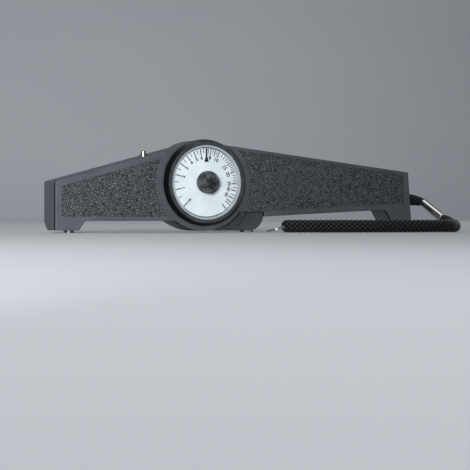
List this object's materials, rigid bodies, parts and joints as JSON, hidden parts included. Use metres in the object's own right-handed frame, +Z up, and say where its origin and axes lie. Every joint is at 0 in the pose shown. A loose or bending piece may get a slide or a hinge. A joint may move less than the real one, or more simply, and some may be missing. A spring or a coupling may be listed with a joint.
{
  "type": "coating thickness gauge",
  "caption": "Magnetic pull-off coating thickness gauge: grained banana-shaped body on feet, dial wheel with pointer, pop-up pin, probe under the left foot and a wrist strap.",
  "frame": {"origin": "bottom centre of the gauge without its strap, on the surface that it stands on", "axes": "+X along the body from the probe to the strap, +Y from the dial face to the back, +Z up"},
  "size_m": [0.2303, 0.0828, 0.0517],
  "materials": {
    "shell_plastic": "fine grained charcoal polycarbonate",
    "foot_plastic": "smooth charcoal nylon",
    "wheel_plastic": "black acetal, turned",
    "hub_plastic": "dark grey, moulded",
    "white_plastic": "white lacquered",
    "clear_window": "clear acrylic",
    "black_print": "black lacquer",
    "bright_brass": "machined",
    "bright_steel": "ground",
    "chrome_plate": "polished",
    "spring_steel": "blued strip",
    "beam_metal": "stamped",
    "magnet_nickel": "nickel plated",
    "braid": "braided nylon"
  },
  "bodies": {
    "housing": {"front_housing": "shell_plastic", "rear_housing": "shell_plastic", "housing_screws": "bright_steel", "centre_foot": "foot_plastic", "foot_screws": "bright_steel", "contact_pins": "bright_steel", "probe_sleeve": "bright_steel", "pin_guide": "magnet_nickel", "scale_plate": "white_plastic", "front_bearing": "bright_brass", "friction_washer": "bright_steel", "arm_axle": "bright_steel", "axle_clip": "spring_steel", "arm_stops": "bright_steel", "strap_anchor": "bright_steel", "strap_neck": "braid", "strap_ferrule": "chrome_plate", "strap_cord": "braid", "split_ring": "bright_steel"},
    "wheel": {"dial_wheel": "wheel_plastic", "dial_bezel": "white_plastic", "dial_window": "clear_window", "pointer": "black_print", "hub_cap": "hub_plastic", "dial_arbor": "bright_steel", "spring_collet": "bright_brass"},
    "beam": {"balance_arm": "beam_metal", "arm_bush": "bright_brass", "magnet_holder": "bright_brass", "magnet": "magnet_nickel", "counterweight": "bright_brass", "trim_screw": "bright_steel", "spring_post": "bright_steel", "spiral_spring": "spring_steel"},
    "pin": {"indicator_pin": "magnet_nickel"}
  },
  "joints": [
    {"name": "wheel_turn", "type": "hinge", "parent": "housing", "child": "wheel", "pos_m": [-0.02268, 0, 0.0277], "axis": [0, 1, 0], "range_deg": [-135, 146]},
    {"name": "beam_lift", "type": "hinge", "parent": "housing", "child": "beam", "pos_m": [-0.02268, 0, 0.0277], "axis": [0, 1, 0], "range_deg": [0, 1.15]},
    {"name": "pin_pop", "type": "slide", "parent": "housing", "child": "pin", "axis": [0, 0, 1], "range_m": [0, 0.00066]}
  ],
  "couplings": [
    {"joint": "pin_pop", "follows": "beam_lift", "m_per_rad": 0.0326}
  ]
}
